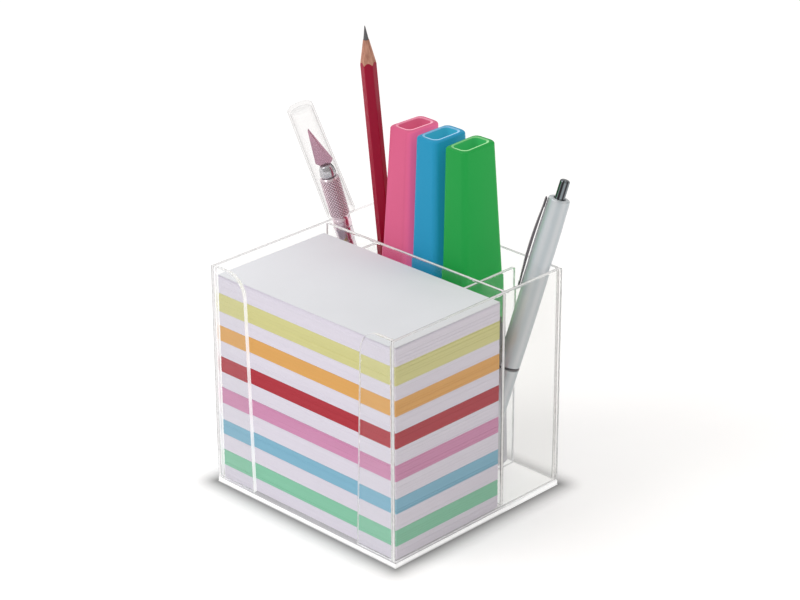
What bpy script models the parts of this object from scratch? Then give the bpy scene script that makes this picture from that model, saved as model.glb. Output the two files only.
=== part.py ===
"""Note dispenser with pen holder: a clear open box of bonded 2 mm sheet with a note stack at the
front and three pen compartments behind it, with a craft knife, a pencil, three highlighters and a
ballpoint standing in them.

Metres, +Z up. The front with the finger cut-out looks along -Y. The origin is the centre of the
base plate's underside.
"""
import bpy
import bmesh
import math
from mathutils import Matrix, Vector

MM = 0.001
GAP = 0.3               # clearance between touching pieces, mm

# ---- holder, mm
WIDTH, DEPTH, HEIGHT = 105.0, 97.4, 99.6
BASE = 2.0              # base plate thickness
SHEET = 2.0             # wall and divider thickness
DIVIDER_Y = 64.1        # middle of the note divider, from the front face
LEFT_DIVIDER_X, RIGHT_DIVIDER_X = -30.6, 27.9
LOW_DIVIDER_TOP = 93.3  # the two short dividers end below the rim
TAB_TOP_X, TAB_FOOT_X = 33.2, 30.6   # inner edges of the front tabs, at top and foot
TAB_RADIUS = 10.0       # rounded upper corner of each tab
EDGE = 0.35             # polished edge bevel

# ---- notes, mm
NOTE_W, NOTE_D = 100.1, 59.3
NOTE_FRONT = 2.45       # front edge of the stack, from the front face
PADS = [("white", 5.9), ("green", 7.2), ("white", 7.4), ("blue", 6.7), ("white", 7.8),
        ("pink", 7.2), ("white", 7.2), ("red", 7.0), ("white", 7.2), ("orange", 7.0),
        ("white", 6.4), ("yellow", 8.2), ("white", 8.0)]   # bottom to top, with each one's height

# ---- tools: a point low on each axis and a second point higher up (x, y from the front face, z)
PENCIL_AXIS = ((-26.2, 84.9, 3.7), (-26.2, 74.8, 93.0))
PENCIL_SIDE = (0.968, 0.252, 0.0)     # direction that one flat of the pencil faces
KNIFE_AXIS = ((-35.19, 92.245, 3.42), (-46.47, 69.2, 99.6))
BALLPOINT_AXIS = ((30.7, 66.6, 3.3), (45.4, 90.2, 99.6))
TOOL_FOOT = -1.0        # lower end of each tool, along its axis from the first point
MARKER_LENGTH = 146.0
MARKERS = {             # foot centre and the lean over the full height
    "pink": ((-15.5, 77.4, 3.5), (1.3, 2.4)),
    "blue": ((2.1, 80.6, 3.5), (-0.8, -1.2)),
    "green": ((19.2, 82.4, 3.5), (-1.4, -3.4)),
}
SIDE = Vector((0.713, 0.701, 0.0))   # horizontal direction that the clip and the blade lie along

COLOURS = {
    "clear": ((0.93, 0.95, 0.95, 1), 0.05, 0.0), "white": ((0.86, 0.86, 0.88, 1), 0.8, 0.0),
    "yellow": ((0.80, 0.78, 0.30, 1), 0.8, 0.0), "orange": ((0.85, 0.45, 0.15, 1), 0.8, 0.0),
    "red": ((0.50, 0.04, 0.06, 1), 0.8, 0.0), "pink": ((0.75, 0.28, 0.48, 1), 0.8, 0.0),
    "blue": ((0.25, 0.52, 0.68, 1), 0.8, 0.0), "green": ((0.25, 0.60, 0.42, 1), 0.8, 0.0),
    "marker_pink": ((0.78, 0.12, 0.26, 1), 0.35, 0.0), "marker_blue": ((0.03, 0.30, 0.60, 1), 0.35, 0.0),
    "marker_green": ((0.02, 0.36, 0.08, 1), 0.35, 0.0), "dark": ((0.06, 0.06, 0.065, 1), 0.4, 0.0),
    "felt": ((0.85, 0.85, 0.5, 1), 0.9, 0.0), "aluminium": ((0.75, 0.75, 0.77, 1), 0.3, 1.0),
    "steel": ((0.6, 0.6, 0.62, 1), 0.2, 1.0), "pencil_red": ((0.28, 0.01, 0.03, 1), 0.25, 0.0),
    "graphite": ((0.06, 0.06, 0.07, 1), 0.5, 0.2), "silver": ((0.72, 0.74, 0.77, 1), 0.25, 0.3),
    "dark_chrome": ((0.12, 0.12, 0.13, 1), 0.15, 1.0), "pale": ((0.62, 0.63, 0.67, 1), 0.35, 0.0),
}

for old in list(bpy.data.objects):
    bpy.data.objects.remove(old, do_unlink=True)

scene = bpy.context.scene
parts = bpy.data.collections.new("note_dispenser")
cutters = bpy.data.collections.new("cutters")
scene.collection.children.link(parts)
scene.collection.children.link(cutters)


def material(name):
    m = bpy.data.materials.get(name)
    if m is None:
        m = bpy.data.materials.new(name)
        m.use_nodes = True
        b = m.node_tree.nodes["Principled BSDF"]
        colour, rough, metal = COLOURS[name]
        b.inputs["Base Color"].default_value = colour
        b.inputs["Roughness"].default_value = rough
        b.inputs["Metallic"].default_value = metal
    return m


def add(name, data, mat, parent=None, matrix=None, where=parts):
    """A new object; matrix is its place in its parent's frame, or in the world."""
    ob = bpy.data.objects.new(name, data)
    where.objects.link(ob)
    if mat:
        data.materials.append(material(mat))
    if parent is not None:
        ob.parent = parent
    ob.matrix_basis = matrix or Matrix.Identity(4)
    return ob


def y(front):
    """World y, in mm, of a distance from the front face."""
    return front - DEPTH / 2


def box_mesh(name, size, bevel=0.0, segments=2):
    bm = bmesh.new()
    bmesh.ops.create_cube(bm, size=1.0)
    bmesh.ops.scale(bm, vec=Vector(size) * MM, verts=bm.verts)
    if bevel:
        bmesh.ops.bevel(bm, geom=list(bm.edges), offset=bevel * MM, segments=segments,
                        profile=0.5, affect="EDGES")
    me = bpy.data.meshes.new(name)
    bm.to_mesh(me)
    bm.free()
    return me


def box(name, low, high, mat, bevel=0.0, segments=2, parent=None):
    low, high = Vector(low), Vector(high)
    me = box_mesh(name, high - low, bevel, segments)
    return add(name, me, mat, parent, Matrix.Translation((low + high) / 2 * MM))


def axis_frame(name, low, high, side=Vector((1, 0, 0))):
    """An empty on a tool's axis: its Z runs up the axis and its X is nearest to side."""
    a = Vector((low[0], y(low[1]), low[2]))
    b = Vector((high[0], y(high[1]), high[2]))
    z = (b - a).normalized()
    x = (side - z * side.dot(z)).normalized()
    rot = Matrix((x, z.cross(x), z)).transposed().to_4x4()
    empty = bpy.data.objects.new(name, None)
    parts.objects.link(empty)
    empty.matrix_world = Matrix.Translation(a * MM) @ rot
    return empty


def turned(name, profile, mat, parent, steps=32, matrix=None, closed=False):
    """A turned piece: the profile (radius, height), in mm, runs down the outer side."""
    bm = bmesh.new()
    vs = [bm.verts.new((r * MM, 0.0, h * MM)) for r, h in profile]
    for a, b in zip(vs, vs[1:]):
        bm.edges.new((a, b))
    if closed:
        bm.edges.new((vs[-1], vs[0]))
    me = bpy.data.meshes.new(name)
    bm.to_mesh(me)
    bm.free()
    ob = add(name, me, mat, parent, matrix)
    s = ob.modifiers.new("turn", "SCREW")
    s.axis = "Z"
    s.angle = 2 * math.pi
    s.steps = s.render_steps = steps
    s.use_merge_vertices = True
    s.merge_threshold = 0.00001
    s.use_smooth_shade = True
    return ob


def cut(ob, cutter, operation="DIFFERENCE"):
    cutter.hide_render = True
    cutter.display_type = "WIRE"
    m = ob.modifiers.new("cut", "BOOLEAN")
    m.object = cutter
    m.operation = operation
    m.solver = "EXACT"


def outline(name, points, thickness, mat, parent, matrix=None):
    """A flat piece: a closed 2D outline in mm, extruded to a thickness along its Z."""
    cu = bpy.data.curves.new(name, "CURVE")
    cu.dimensions = "2D"
    cu.fill_mode = "BOTH"
    cu.extrude = thickness / 2 * MM
    sp = cu.splines.new("POLY")
    sp.points.add(len(points) - 1)
    for p, (a, b) in zip(sp.points, points):
        p.co = (a * MM, b * MM, 0, 1)
    sp.use_cyclic_u = True
    return add(name, cu, mat, parent, matrix)


def ring(hx, hy, radius, n=5):
    """Points of a rounded rectangle, anticlockwise."""
    out = []
    for cx, cy, start in ((1, 1, 0), (-1, 1, 90), (-1, -1, 180), (1, -1, 270)):
        for i in range(n + 1):
            a = math.radians(start + 90 * i / n)
            out.append((cx * (hx - radius) + radius * math.cos(a),
                        cy * (hy - radius) + radius * math.sin(a)))
    return out


def loft(name, sections, mat, parent):
    """A closed body through rounded rectangles (hx, hy, radius, height), which run up the outer
    side and, on a hollow end, back down the inner side; the first and the last are closed."""
    bm = bmesh.new()
    rows = []
    for hx, hy, radius, h in sections:
        rows.append([bm.verts.new((px * MM, py * MM, h * MM)) for px, py in ring(hx, hy, radius)])
    count = len(rows[0])
    for low, high in zip(rows, rows[1:]):
        for i in range(count):
            j = (i + 1) % count
            bm.faces.new((low[i], low[j], high[j], high[i]))
    bm.faces.new(list(reversed(rows[0])))
    bm.faces.new(rows[-1])
    bmesh.ops.recalc_face_normals(bm, faces=bm.faces)
    me = bpy.data.meshes.new(name)
    bm.to_mesh(me)
    bm.free()
    ob = add(name, me, mat, parent)
    me.shade_smooth()
    me.set_sharp_from_angle(angle=math.radians(35))
    return ob


# ------------------------------------------------------------------ holder
W2 = WIDTH / 2
INNER = W2 - SHEET - GAP
FOOT = BASE + GAP
box("base_plate", (-W2, y(0), 0), (W2, y(DEPTH), BASE), "clear", EDGE)
box("left_side_wall", (-W2, y(0), FOOT), (-W2 + SHEET, y(DEPTH), HEIGHT), "clear", EDGE)
box("right_side_wall", (W2 - SHEET, y(0), FOOT), (W2, y(DEPTH), HEIGHT), "clear", EDGE)
box("back_wall", (-INNER, y(DEPTH - SHEET), FOOT), (INNER, y(DEPTH), HEIGHT), "clear", EDGE)
box("note_divider", (-INNER, y(DIVIDER_Y - SHEET / 2), FOOT),
    (INNER, y(DIVIDER_Y + SHEET / 2), HEIGHT), "clear", EDGE)
for name, x in (("left_pen_divider", LEFT_DIVIDER_X), ("right_pen_divider", RIGHT_DIVIDER_X)):
    box(name, (x - SHEET / 2, y(DIVIDER_Y + SHEET / 2 + GAP), FOOT),
        (x + SHEET / 2, y(DEPTH - SHEET - GAP), LOW_DIVIDER_TOP), "clear", EDGE)

# front tabs: an upright strip whose inner edge leans slightly and rounds over at the top
tab = [(INNER, FOOT), (INNER, HEIGHT)]
for i in range(9):
    a = math.radians(90 + 90 * i / 8)
    tab.append((TAB_TOP_X + TAB_RADIUS + TAB_RADIUS * math.cos(a),
                HEIGHT - TAB_RADIUS + TAB_RADIUS * math.sin(a)))
tab.append((TAB_FOOT_X, FOOT))
upright = Matrix.Rotation(math.radians(90), 4, "X")
for name, sign in (("front_tab_left", -1), ("front_tab_right", 1)):
    points = [(sign * px, pz) for px, pz in tab]
    outline(name, points, SHEET, "clear", None,
            Matrix.Translation((0, y(SHEET / 2) * MM, 0)) @ upright)

# ------------------------------------------------------------------ notes
STACK_TOP = FOOT
for i, (colour, height) in enumerate(PADS):
    dx = 0.12 * math.sin(2.3 * i + 0.4)
    dy = 0.12 * math.sin(1.7 * i + 1.1)
    box("notes_%02d_%s" % (i + 1, colour),
        (-NOTE_W / 2 + dx, y(NOTE_FRONT) + dy, STACK_TOP),
        (NOTE_W / 2 + dx, y(NOTE_FRONT + NOTE_D) + dy, STACK_TOP + height - GAP), colour)
    STACK_TOP += height
# the top note: its origin is on its back lower edge, which it turns about
hinge = bpy.data.objects.new("top_note_edge", None)
parts.objects.link(hinge)
hinge.matrix_world = Matrix.Translation((0, y(NOTE_FRONT + NOTE_D) * MM, STACK_TOP * MM))
top = box_mesh("top_note", (NOTE_W, NOTE_D, 0.3))
add("top_note", top, "white", hinge, Matrix.Translation((0, -NOTE_D / 2 * MM, 0.15 * MM)))

# ------------------------------------------------------------------ pencil
P_LEN, P_R = 190.3, 3.4           # length and corner radius of the hexagon
LEAD_OUT, CONE = 6.1, 10.9        # bare lead and bare wood cone
TIP_R = 1.3                       # radius of the wood where the lead comes out
wood_end = P_LEN - LEAD_OUT
pencil = axis_frame("pencil_axis", *PENCIL_AXIS, side=Vector(PENCIL_SIDE))
bm = bmesh.new()
bmesh.ops.create_cone(bm, cap_ends=True, segments=6, radius1=P_R * MM, radius2=P_R * MM,
                      depth=(wood_end - TOOL_FOOT) * MM)
me = bpy.data.meshes.new("pencil_casing")
bm.to_mesh(me)
bm.free()
casing = add("pencil_casing", me, "pencil_red", pencil,
             Matrix.Translation((0, 0, (wood_end + TOOL_FOOT) / 2 * MM)))
slope = (P_R - TIP_R) / CONE      # the sharpener's cone
sharp = turned("pencil_sharpener", [(0, wood_end + 1), (TIP_R - slope, wood_end + 1),
                                    (TIP_R + slope * 30, wood_end - 30), (TIP_R + slope * 30, -5),
                                    (0, -5)], None, pencil, 40)
bore = turned("pencil_bore", [(0, P_LEN), (1.05, P_LEN), (1.05, 1.5), (0, 1.5)], None, pencil, 20)
for c in (sharp, bore):
    parts.objects.unlink(c)
    cutters.objects.link(c)
cut(casing, sharp, "INTERSECT")
cut(casing, bore)
turned("pencil_lead", [(0, P_LEN), (0.2, P_LEN - 0.1), (0.75, P_LEN - LEAD_OUT + 0.6),
                       (0.75, 1.9), (0, 1.9)], "graphite", pencil, 20)

# ------------------------------------------------------------------ craft knife
knife = axis_frame("knife_axis", *KNIFE_AXIS, side=SIDE)
K_R = 3.65
dome = [(K_R * math.sin(math.radians(a)), TOOL_FOOT + K_R - K_R * math.cos(math.radians(a)))
        for a in range(90, -1, -15)]
turned("knife_end_plug", [(0, 12), (1.9, 12), (1.9, 5.0), (K_R, 5.0)] + dome, "dark", knife)
turned("knife_handle", [(K_R - 0.3, 97.5), (K_R, 97.2), (K_R, 5.6), (K_R - 0.3, 5.3),
                        (2.3, 5.3), (2.3, 97.5)], "aluminium", knife, closed=True)
turned("knife_chuck", [(3.5, 121.8), (4.2, 121.0), (4.2, 103.6), (3.7, 103.0), (3.7, 102.2),
                       (3.95, 101.8), (3.95, 98.2), (3.6, 97.8), (2.6, 97.8), (2.6, 121.8)],
       "aluminium", knife, closed=True)
collet = turned("knife_collet", [(0, 127.4), (2.2, 127.4), (3.2, 125.4), (3.5, 122.8),
                                 (3.2, 122.1), (2.2, 122.1), (2.2, 84.0), (0, 84.0)],
                "steel", knife)
slot = add("knife_slot", box_mesh("knife_slot", (9, 1.2, 17)), None, knife,
           Matrix.Translation((0, 0, 120.4 * MM)), cutters)
cut(collet, slot)
outline("knife_blade", [(-1.9, 113.0), (1.9, 113.0), (1.9, 127.0), (3.6, 129.0), (3.6, 130.2),
                        (-2.6, 145.4), (-3.1, 144.4), (-3.9, 128.8), (-1.9, 127.0)], 0.5,
        "steel", knife, upright)
CAP_TILT = -4.5                   # the loose cap sits slightly askew on the chuck
cap_matrix = (Matrix.Translation((0, 0, 113 * MM)) @ Matrix.Rotation(math.radians(CAP_TILT), 4, "Y")
              @ Matrix.Translation((0, 0, -9 * MM)))
turned("knife_cap", [(0, 52.0), (5.2, 52.0), (5.6, 51.6), (6.3, 0.3), (6.1, 0), (5.6, 0),
                     (4.85, 50.0), (4.5, 50.4), (0, 50.4)], "clear", knife, 36, cap_matrix)

# ------------------------------------------------------------------ highlighters
for colour, (foot, lean) in MARKERS.items():
    head = (foot[0] + lean[0], foot[1] + lean[1], foot[2] + MARKER_LENGTH)
    m = axis_frame("marker_%s_axis" % colour, foot, head)
    n = "marker_%s_" % colour
    # cap: closed at the foot, open at the top
    loft(n + "cap", [(5.9, 10.6, 2.4, TOOL_FOOT), (6.9, 11.6, 2.8, -0.4), (7.3, 12.0, 2.8, 1.5),
                     (7.3, 12.0, 2.8, 50.0), (6.1, 10.8, 2.0, 50.0), (6.1, 10.8, 2.0, 1.5)],
         "pale", m)
    # grip section: a waist with a neck that plugs into the cap and a spigot into the barrel
    loft(n + "grip", [(2.1, 3.1, 0.9, 74.0), (2.1, 3.1, 0.9, 28.0), (2.9, 3.9, 1.2, 28.0),
                      (3.9, 5.4, 1.6, 36.0), (5.5, 10.0, 2.0, 40.0), (5.5, 10.0, 2.0, 50.3),
                      (7.26, 11.86, 2.7, 50.6), (7.26, 11.86, 2.7, 68.6), (5.3, 9.9, 2.0, 68.6),
                      (5.3, 9.9, 2.0, 74.0)], "dark", m)
    # nib: a chisel-ended felt block
    loft(n + "nib", [(1.7, 0.5, 0.2, 19.5), (1.8, 1.6, 0.4, 22.0), (1.8, 2.8, 0.6, 26.0),
                     (1.8, 2.8, 0.6, 73.0)], "felt", m)
    # ink reservoir, in the barrel above the grip section
    loft(n + "reservoir", [(3.6, 3.6, 3.5, 74.4), (3.6, 3.6, 3.5, 126.0)], "felt", m)
    # barrel: a hollow wedge, open at the foot, with an open slot in its narrow tail
    loft(n + "barrel", [(5.6, 10.2, 2.0, 76.0), (5.6, 10.2, 2.0, 68.9), (7.1, 11.7, 2.6, 68.9),
                        (7.26, 11.86, 2.7, 69.2), (7.26, 11.86, 2.7, 84.5),
                        (7.0, 11.45, 2.6, 96.5), (5.95, 9.55, 2.4, 141.0),
                        (5.9, 9.45, 2.3, 145.0), (5.7, 9.25, 2.2, 145.75), (5.4, 8.95, 2.1, 146.0),
                        (4.45, 8.0, 3.2, 146.0), (4.15, 7.7, 3.0, 145.6),
                        (3.8, 7.0, 2.8, 134.0)][::-1], "marker_" + colour, m)
    body = bpy.data.objects[n + "barrel"]
    well = turned(n + "well", [(0, 128), (4.2, 128), (4.2, 75.0), (0, 75.0)], None, m, 24)
    parts.objects.unlink(well)
    cutters.objects.link(well)
    cut(body, well)

# ------------------------------------------------------------------ ballpoint
pen = axis_frame("ballpoint_axis", *BALLPOINT_AXIS, side=SIDE)
turned("pen_nose", [(1.4, 1.8), (1.4, 23.6), (2.6, 23.6), (2.6, 17.4), (3.9, 17.4), (3.95, 16.9),
                    (3.2, 11.0), (2.2, 5.0), (1.75, 1.8)], "silver", pen, closed=True)
turned("pen_lower_barrel", [(2.6, 62.5), (3.2, 62.5), (3.2, 55.6), (4.35, 55.6), (4.6, 55.3),
                            (4.6, 40.0), (4.5, 26.0), (4.1, 18.0), (4.0, 17.7), (3.0, 17.7),
                            (3.0, 24.2), (2.6, 24.6)], "silver", pen, closed=True)
turned("pen_ring", [(4.6, 56.5), (4.7, 56.4), (4.7, 56.0), (4.6, 55.9), (3.5, 55.9),
                    (3.5, 56.5)], "dark_chrome", pen, closed=True)
turned("pen_upper_barrel", [(2.5, 131.3), (3.6, 131.3), (4.4, 130.9), (4.55, 130.2), (4.85, 118),
                            (4.9, 108), (4.75, 101), (4.85, 80), (4.75, 64), (4.65, 57.1),
                            (4.5, 56.8), (3.5, 56.8), (3.5, 120.0), (2.5, 121.0)],
       "silver", pen, closed=True)
clip = [(-4.9, 130.4), (-4.95, 126.6), (-5.15, 126.2)]
for i in range(1, 9):
    t = i / 8
    clip.append((-5.2 - 0.3 * math.sin(math.pi * t), 126.0 - 32.5 * t))
clip += [(-5.15, 91.6), (-5.35, 90.7), (-5.75, 90.9), (-5.9, 92.2)]
for i in range(8, -1, -1):
    t = i / 8
    clip.append((-5.8 - 0.35 * math.sin(math.pi * t), 126.0 - 32.5 * t))
clip += [(-5.7, 129.6), (-5.5, 130.3), (-5.2, 130.6)]
outline("pen_clip", clip, 2.4, "dark_chrome", pen, upright)
turned("pen_button", [(0, 139.3), (1.6, 139.3), (2.1, 138.8), (2.1, 114.6),
                      (3.0, 114.2), (3.0, 112.0), (0, 112.0)],
       "dark_chrome", pen, 28)
turned("pen_refill", [(0, 111.7), (1.6, 111.7), (1.6, 38.2), (2.2, 38.0), (2.2, 37.2),
                      (1.15, 37.2), (1.15, 1.2),
                      (0.45, -0.6), (0.3, -0.95), (0, TOOL_FOOT)], "steel", pen, 20)
coil = bpy.data.curves.new("pen_spring", "CURVE")
coil.dimensions = "3D"
coil.bevel_depth = 0.22 * MM
coil.bevel_resolution = 1
coil.use_fill_caps = True
turns, per = 7, 12
sp = coil.splines.new("POLY")
sp.points.add(turns * per)
for i in range(turns * per + 1):
    a = 2 * math.pi * i / per
    sp.points[i].co = (1.9 * math.cos(a) * MM, 1.9 * math.sin(a) * MM,
                       (24.2 + 12.4 * i / (turns * per)) * MM, 1)
add("pen_spring", coil, "steel", pen)
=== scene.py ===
"""Looks of the note dispenser with pen holder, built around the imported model."""
import math
import random

import bmesh
import bpy
from mathutils import Matrix, Vector


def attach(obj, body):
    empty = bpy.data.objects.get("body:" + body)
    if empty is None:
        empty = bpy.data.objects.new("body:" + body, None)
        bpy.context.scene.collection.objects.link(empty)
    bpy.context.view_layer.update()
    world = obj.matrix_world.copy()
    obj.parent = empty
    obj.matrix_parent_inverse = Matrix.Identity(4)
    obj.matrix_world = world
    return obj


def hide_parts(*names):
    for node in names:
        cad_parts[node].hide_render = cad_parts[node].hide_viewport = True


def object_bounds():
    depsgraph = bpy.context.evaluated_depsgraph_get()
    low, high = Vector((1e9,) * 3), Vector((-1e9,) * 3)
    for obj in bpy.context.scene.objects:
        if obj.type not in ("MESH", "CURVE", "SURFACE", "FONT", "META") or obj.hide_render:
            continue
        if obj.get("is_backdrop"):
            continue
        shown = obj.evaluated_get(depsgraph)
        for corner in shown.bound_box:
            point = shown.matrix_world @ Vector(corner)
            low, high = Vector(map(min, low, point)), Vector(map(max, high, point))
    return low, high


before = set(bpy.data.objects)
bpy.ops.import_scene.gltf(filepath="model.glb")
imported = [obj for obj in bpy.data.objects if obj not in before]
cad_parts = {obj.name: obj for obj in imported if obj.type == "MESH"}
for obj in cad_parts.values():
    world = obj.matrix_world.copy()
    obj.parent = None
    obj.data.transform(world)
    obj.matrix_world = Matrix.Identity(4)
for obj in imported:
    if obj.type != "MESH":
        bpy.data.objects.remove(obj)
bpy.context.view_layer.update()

MM = 0.001
scene = bpy.context.scene
DEPTH = 97.4            # of the holder, mm; heights and widths below are in mm too
TOOL_FOOT = -1.0        # lower end of each tool, along its axis


def y(front):
    """World y of a distance from the front face, mm."""
    return front - DEPTH / 2


def srgb(r, g, b):
    """Linear colour of an 8-bit display colour."""
    return tuple(((v / 255 + 0.055) / 1.055) ** 2.4 if v > 10 else v / 255 / 12.92
                 for v in (r, g, b)) + (1.0,)


# ------------------------------------------------------------------ camera
YAW, PITCH, ROLL = math.radians(44.564), math.radians(24.639), math.radians(-0.2336)
back = Vector((math.sin(YAW) * math.cos(PITCH), -math.cos(YAW) * math.cos(PITCH), math.sin(PITCH)))
level = Vector((math.cos(YAW), math.sin(YAW), 0.0))
upward = back.cross(level)
right = level * math.cos(ROLL) + upward * math.sin(ROLL)
up = upward * math.cos(ROLL) - level * math.sin(ROLL)
spot = (right * 0.37413 + up * 0.87185 + back * 10.26468) * 0.105 + Vector((0, y(0) * MM, 0))
cam_data = bpy.data.cameras.new("camera")
cam_data.sensor_width = 36.0
cam_data.sensor_fit = "HORIZONTAL"
cam_data.lens = 118.143
cam_data.clip_start, cam_data.clip_end = 0.02, 60.0
camera = bpy.data.objects.new("camera", cam_data)
scene.collection.objects.link(camera)
camera.matrix_world = Matrix.Translation(spot) @ Matrix((right, up, back)).transposed().to_4x4()
scene.camera = camera
scene.view_settings.view_transform = "Standard"
scene.cycles.max_bounces = 28
scene.cycles.transmission_bounces = 24
scene.cycles.glossy_bounces = 8
scene.cycles.diffuse_bounces = 6
scene.cycles.transparent_max_bounces = 40
scene.cycles.sample_clamp_indirect = 6.0


# ------------------------------------------------------------------ node helpers
def node(nt, kind, ins=None, **props):
    n = nt.nodes.new("ShaderNode" + kind)
    for k, v in props.items():
        setattr(n, k, v)
    for k, v in (ins or {}).items():
        if isinstance(v, bpy.types.NodeSocket):
            nt.links.new(v, n.inputs[k])
        else:
            n.inputs[k].default_value = v
    return n


def math_node(nt, op, a, b=0.0, clamp=False):
    n = node(nt, "Math", {0: a, 1: b}, operation=op, use_clamp=clamp)
    return n.outputs[0]


def ramp_between(nt, value, low, high, out_low, out_high):
    n = node(nt, "MapRange", {"Value": value, "From Min": low, "From Max": high,
                              "To Min": out_low, "To Max": out_high}, clamp=True)
    return n.outputs["Result"]


def noise(nt, vector, scale, detail=3.0, rough=0.55):
    """Noise of an object-space position stretched by scale (x, y, z), per metre."""
    m = node(nt, "Mapping", {"Vector": vector, "Scale": scale})
    n = node(nt, "TexNoise", {"Vector": m.outputs[0], "Scale": 1.0, "Detail": detail,
                              "Roughness": rough})
    return n.outputs["Fac"]


def new_material(name):
    m = bpy.data.materials.new(name)
    m.use_nodes = True
    nt = m.node_tree
    nt.nodes.clear()
    out = node(nt, "OutputMaterial")
    tc = node(nt, "TexCoord")
    return m, nt, out.inputs["Surface"], tc


def tinted(nt, rgb, factor):
    """A colour times a number that varies over the surface."""
    n = node(nt, "VectorMath", {0: rgb[:3], "Scale": factor}, operation="SCALE")
    return n.outputs[0]


# ------------------------------------------------------------------ materials
def acrylic(name, axis, tint=(0.985, 0.989, 0.987), frost_and_highlight=0.80, ior=1.27, core=0.24,
            light=0.16, crown=1.0):
    """Clear sheet: bent light through the faces, white along the middle of a sawn and polished edge, partly
    the edge's own frosted look and partly a painted highlight, with a painted glow (light is its strength).
    axis is the direction across the sheet; core is the half width of the white strip, as a fraction of the
    thickness; crown is the share of the white that is left where an edge faces up, which gives upward edges
    painted shade."""
    m, nt, surface, tc = new_material(name)
    rough = ramp_between(nt, noise(nt, tc.outputs["Object"], (60, 60, 60), 4), 0.45, 0.8, 0.0, 0.03)
    glass = node(nt, "BsdfGlass", {"Color": tint + (1,), "Roughness": rough, "IOR": ior})
    shown = glass.outputs[0]
    if axis is not None:
        along = node(nt, "VectorMath", {0: tc.outputs["Normal"], 1: axis}, operation="DOT_PRODUCT")
        across = math_node(nt, "ABSOLUTE", along.outputs["Value"])
        edge = ramp_between(nt, across, 0.25, 0.8, 1.0, 0.0)
        depth = node(nt, "VectorMath", {0: tc.outputs["Generated"], 1: axis},
                     operation="DOT_PRODUCT").outputs["Value"]
        middle = math_node(nt, "ABSOLUTE", math_node(nt, "SUBTRACT", depth, 0.5))
        strip = ramp_between(nt, middle, core, core + 0.08, 1.0, 0.34)
        edge = math_node(nt, "MULTIPLY", edge, strip)
        if crown < 1.0:
            sep = node(nt, "SeparateXYZ", {0: tc.outputs["Normal"]})
            edge = math_node(nt, "MULTIPLY", edge, ramp_between(nt, sep.outputs["Z"], 0.05, 0.7,
                                                                1.0, crown))
        streak = noise(nt, tc.outputs["Object"], (700, 700, 700), 2)
        part = math_node(nt, "MULTIPLY", edge,
                         ramp_between(nt, streak, 0.3, 0.7, frost_and_highlight - 0.07, frost_and_highlight + 0.07))
        # painted highlight and painted glow: a white skin with emission along the middle of each edge
        edge_highlight_skin = node(nt, "BsdfPrincipled", {"Base Color": (0.93, 0.935, 0.94, 1), "Roughness": 0.3,
                                           "Specular IOR Level": 0.3,
                                           "Emission Color": (1, 1, 1, 1), "Emission Strength": light})
        mix = node(nt, "MixShader", {0: part, 1: shown, 2: edge_highlight_skin.outputs[0]})
        shown = mix.outputs[0]
    path = node(nt, "LightPath")
    open_ = node(nt, "BsdfTransparent", {"Color": (0.985, 0.985, 0.985, 1)})
    soft = node(nt, "MixShader", {0: path.outputs["Is Diffuse Ray"], 1: shown, 2: open_.outputs[0]})
    lamp = node(nt, "MixShader", {0: path.outputs["Is Shadow Ray"], 1: soft.outputs[0],
                                  2: open_.outputs[0]})
    nt.links.new(lamp.outputs[0], surface)
    return m


def moulded(name):
    """Thin clear moulding: straight through, with painted shade (greyer) where it is seen edge-on, and
    shinier there with a faint painted glow.
    """
    m, nt, surface, tc = new_material(name)
    facing = node(nt, "LayerWeight", {"Blend": 0.35}).outputs["Facing"]
    haze = noise(nt, tc.outputs["Object"], (90, 90, 20), 2)
    # painted shade: greyer where seen edge-on; the shine below carries a faint painted glow
    edge = math_node(nt, "POWER", facing, 2.4)
    pale = ramp_between(nt, edge, 0.0, 1.0, 0.985, 0.60)
    through = node(nt, "BsdfTransparent", {"Color": tinted(nt, (1, 1, 1, 1), pale)})
    shine = node(nt, "BsdfPrincipled", {"Base Color": (0.9, 0.9, 0.91, 1), "Roughness": 0.15,
                                        "Emission Color": (1, 1, 1, 1), "Emission Strength": 0.15})
    part = math_node(nt, "MULTIPLY", edge, ramp_between(nt, haze, 0.3, 0.7, 0.25, 0.5))
    part = math_node(nt, "ADD", part, 0.03)
    mix = node(nt, "MixShader", {0: part, 1: through.outputs[0], 2: shine.outputs[0]})
    path = node(nt, "LightPath")
    open_ = node(nt, "BsdfTransparent", {"Color": (0.99, 0.99, 0.99, 1)})
    lamp = node(nt, "MixShader", {0: path.outputs["Is Shadow Ray"], 1: mix.outputs[0],
                                  2: open_.outputs[0]})
    nt.links.new(lamp.outputs[0], surface)
    return m


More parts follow.
